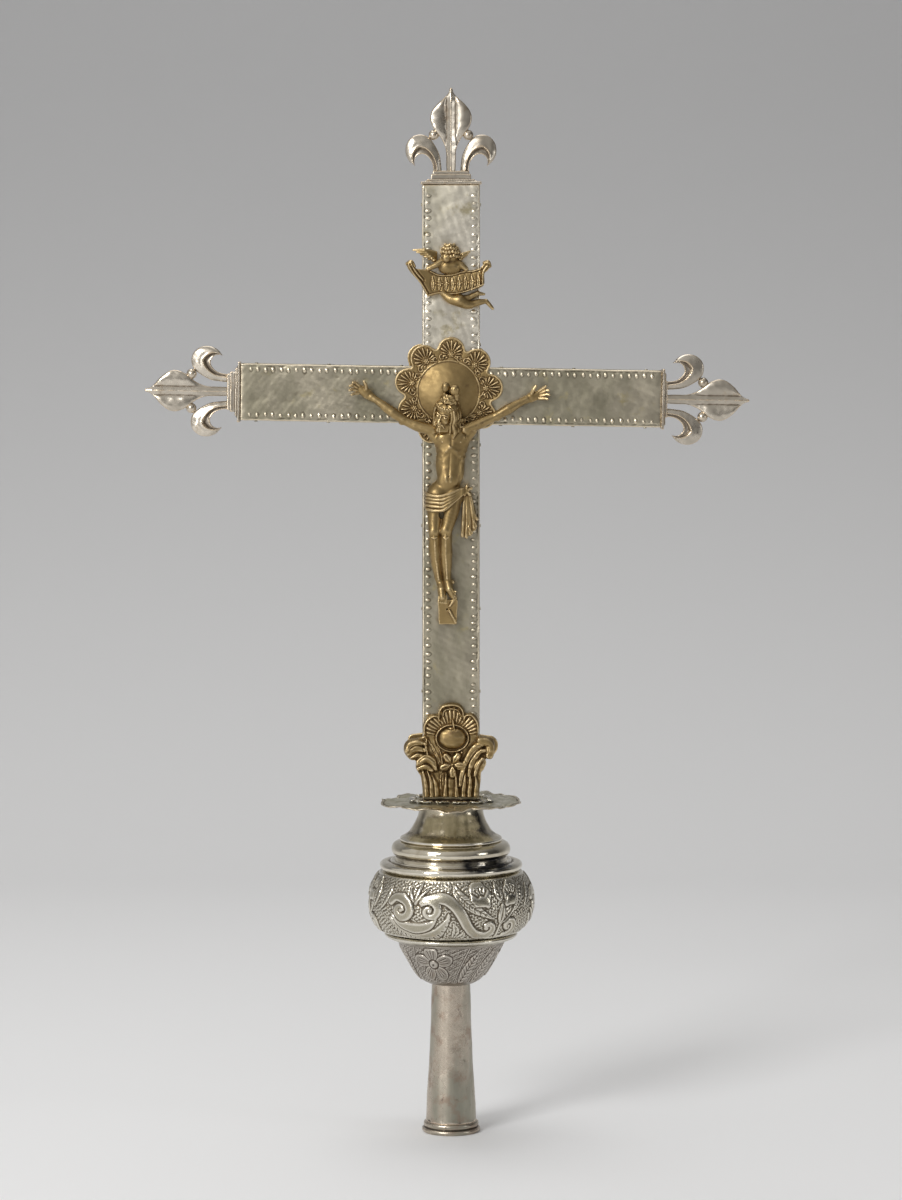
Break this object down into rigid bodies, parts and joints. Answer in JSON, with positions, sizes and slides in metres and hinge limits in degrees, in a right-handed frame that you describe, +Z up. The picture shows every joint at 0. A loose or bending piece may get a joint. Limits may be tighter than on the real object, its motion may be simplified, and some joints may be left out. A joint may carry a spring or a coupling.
{
  "type": "processional cross",
  "caption": "Sheet-covered processional cross with gilt figure, lily finials, raised bulb knop and tapered staff socket; the cross lifts out of the knop.",
  "frame": {"origin": "centre of the socket's mouth, where the cross stands", "axes": "+Z up the socket and the upright, front with the figure faces -Y, +X to the viewer's right"},
  "size_m": [0.4406, 0.1184, 0.7553],
  "materials": {
    "wood": "dry, unvarnished",
    "plated_sheet": "worn silver plate with warm grey-green patina, edges rubbed to brown base metal",
    "plated_casting": "tarnished silver plate, dark in the recesses",
    "gilt_brass": "worn gilding, dark in the recesses",
    "brass_pins": "dull",
    "iron": "dark, dull",
    "knop_silver": "raised and chased, rubbed bright on the relief",
    "socket_metal": "pinkish grey with dark pits"
  },
  "bodies": {
    "knop": {"scalloped_disc": "knop_silver", "neck": "knop_silver", "shoulder_moulding": "knop_silver", "shoulder_flange": "knop_silver", "belly": "knop_silver", "girdle": "knop_silver", "cup": "knop_silver", "inner_tube": "iron", "neck_bush": "wood", "socket_tube": "socket_metal", "foot_ring": "socket_metal"},
    "cross": {"upright_core": "wood", "arm_core": "wood", "core_dowels": "wood", "upper_front_sheet": "plated_sheet", "lower_front_sheet": "plated_sheet", "left_front_sheet": "plated_sheet", "right_front_sheet": "plated_sheet", "upper_back_sheet": "plated_sheet", "lower_back_sheet": "plated_sheet", "left_back_sheet": "plated_sheet", "right_back_sheet": "plated_sheet", "sheet_pins": "brass_pins", "top_cap": "plated_casting", "left_cap": "plated_casting", "right_cap": "plated_casting", "top_plinth": "plated_casting", "left_plinth": "plated_casting", "right_plinth": "plated_casting", "top_lily": "plated_casting", "left_lily": "plated_casting", "right_lily": "plated_casting", "halo_front": "gilt_brass", "halo_back": "gilt_brass", "halo_pins": "brass_pins", "corpus_body": "gilt_brass", "corpus_left_arm": "gilt_brass", "corpus_right_arm": "gilt_brass", "corpus_nails": "brass_pins", "foot_block": "gilt_brass", "title_scroll": "gilt_brass", "title_pins": "brass_pins", "acanthus_front": "gilt_brass", "acanthus_back": "gilt_brass", "acanthus_pins": "brass_pins"}
  },
  "joints": [
    {"name": "cross_lift_out", "type": "slide", "parent": "knop", "child": "cross", "axis": [0, 0, 1], "range_m": [0, 0.118]}
  ]
}
